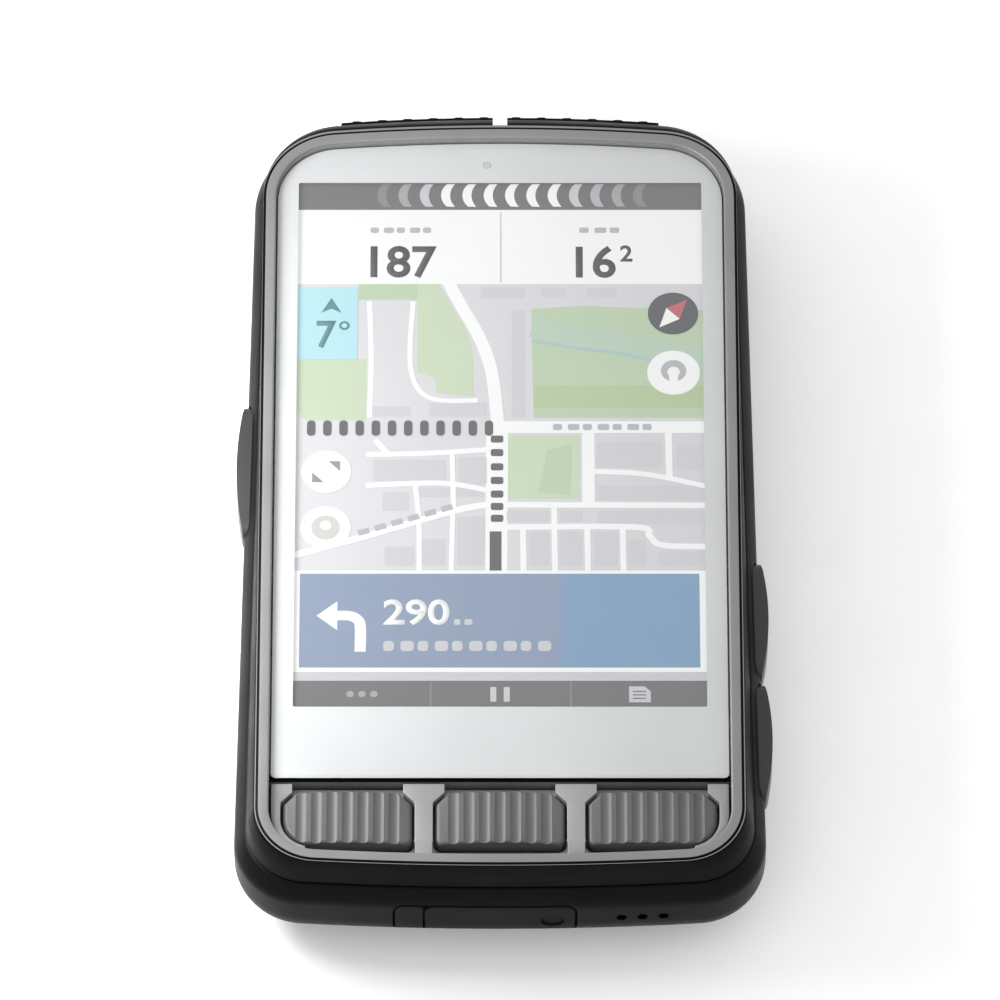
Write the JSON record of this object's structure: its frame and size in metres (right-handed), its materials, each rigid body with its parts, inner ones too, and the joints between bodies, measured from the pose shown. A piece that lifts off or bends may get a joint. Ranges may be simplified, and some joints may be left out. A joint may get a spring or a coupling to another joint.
{
  "type": "cycling computer",
  "caption": "Handlebar cycling computer with a tall display, front keys, side keys, a ribbed wind port in its nose, a USB flap and a quarter-turn mount on its back.",
  "frame": {"origin": "centre of the quarter-turn insert's flat end face, the lowest face of the unit", "axes": "+Z out of the screen, +Y towards the nose (forwards on the bike), +X to the rider's right"},
  "size_m": [0.0725, 0.1254, 0.0202],
  "materials": {
    "case_black": "fine moulded texture",
    "frame_grey": "satin dark grey",
    "key_grey": "matte, ribbed",
    "tray_silver": "satin silver",
    "rubber_black": "matte",
    "glass": "clear with a printed silver border",
    "display_dark": "smooth",
    "steel": "plain",
    "board_green": "solder mask",
    "flex_amber": "polyimide film",
    "battery_silver": "foil pouch",
    "ceramic_beige": "unglazed"
  },
  "bodies": {
    "unit": {"battery": "battery_silver", "battery_connector": "display_dark", "board_screw_1": "steel", "board_screw_2": "steel", "board_screw_3": "steel", "board_screw_4": "steel", "button_surround": "tray_silver", "case_screw_1": "steel", "case_screw_2": "steel", "case_screw_3": "steel", "case_screw_4": "steel", "case_screw_5": "steel", "case_screw_6": "steel", "case_seal": "rubber_black", "cover_glass": "glass", "display_backlight": "steel", "display_panel": "display_dark", "display_ribbon": "flex_amber", "down_boot": "rubber_black", "down_switch": "steel", "front_frame": "frame_grey", "glass_bond": "rubber_black", "gnss_antenna": "ceramic_beige", "io_board": "board_green", "keypad_membrane": "rubber_black", "keypad_switch_centre": "steel", "keypad_switch_left": "steel", "keypad_switch_right": "steel", "light_sensor": "display_dark", "main_board": "board_green", "mount_insert": "case_black", "mount_screw_1": "steel", "mount_screw_2": "steel", "power_boot": "rubber_black", "power_switch": "steel", "processor_shield": "steel", "radio_shield": "steel", "rear_case": "case_black", "speaker": "case_black", "up_boot": "rubber_black", "up_switch": "steel", "usb_flap_anchor": "rubber_black", "usb_socket": "steel", "wind_port_cover": "case_black", "wind_sensor": "display_dark", "wind_sensor_gasket": "rubber_black"},
    "front_button_left_body": {"front_button_left": "key_grey"},
    "front_button_centre_body": {"front_button_centre": "key_grey"},
    "front_button_right_body": {"front_button_right": "key_grey"},
    "power_button_body": {"power_button": "rubber_black"},
    "up_button_body": {"up_button": "rubber_black"},
    "down_button_body": {"down_button": "rubber_black"},
    "usb_flap_body": {"usb_flap": "rubber_black"}
  },
  "joints": [
    {"name": "front_left_press", "type": "slide", "parent": "unit", "child": "front_button_left_body", "axis": [0, 0, -1], "range_m": [0, 0.0005], "stiffness_N_per_m": 1000, "springref_m": -0.0005},
    {"name": "front_centre_press", "type": "slide", "parent": "unit", "child": "front_button_centre_body", "axis": [0, 0, -1], "range_m": [0, 0.0005], "stiffness_N_per_m": 1000, "springref_m": -0.0005},
    {"name": "front_right_press", "type": "slide", "parent": "unit", "child": "front_button_right_body", "axis": [0, 0, -1], "range_m": [0, 0.0005], "stiffness_N_per_m": 1000, "springref_m": -0.0005},
    {"name": "power_press", "type": "slide", "parent": "unit", "child": "power_button_body", "axis": [1, 0, 0], "range_m": [0, 0.0004], "stiffness_N_per_m": 1000, "springref_m": -0.0005},
    {"name": "up_press", "type": "slide", "parent": "unit", "child": "up_button_body", "axis": [-1, 0, 0], "range_m": [0, 0.0004], "stiffness_N_per_m": 1000, "springref_m": -0.0005},
    {"name": "down_press", "type": "slide", "parent": "unit", "child": "down_button_body", "axis": [-1, 0, 0], "range_m": [0, 0.0004], "stiffness_N_per_m": 1000, "springref_m": -0.0005},
    {"name": "usb_flap_turn", "type": "hinge", "parent": "unit", "child": "usb_flap_body", "pos_m": [-0.01, -0.0627, 0.0095], "axis": [0, 0, -1], "range_deg": [0, 110]}
  ]
}
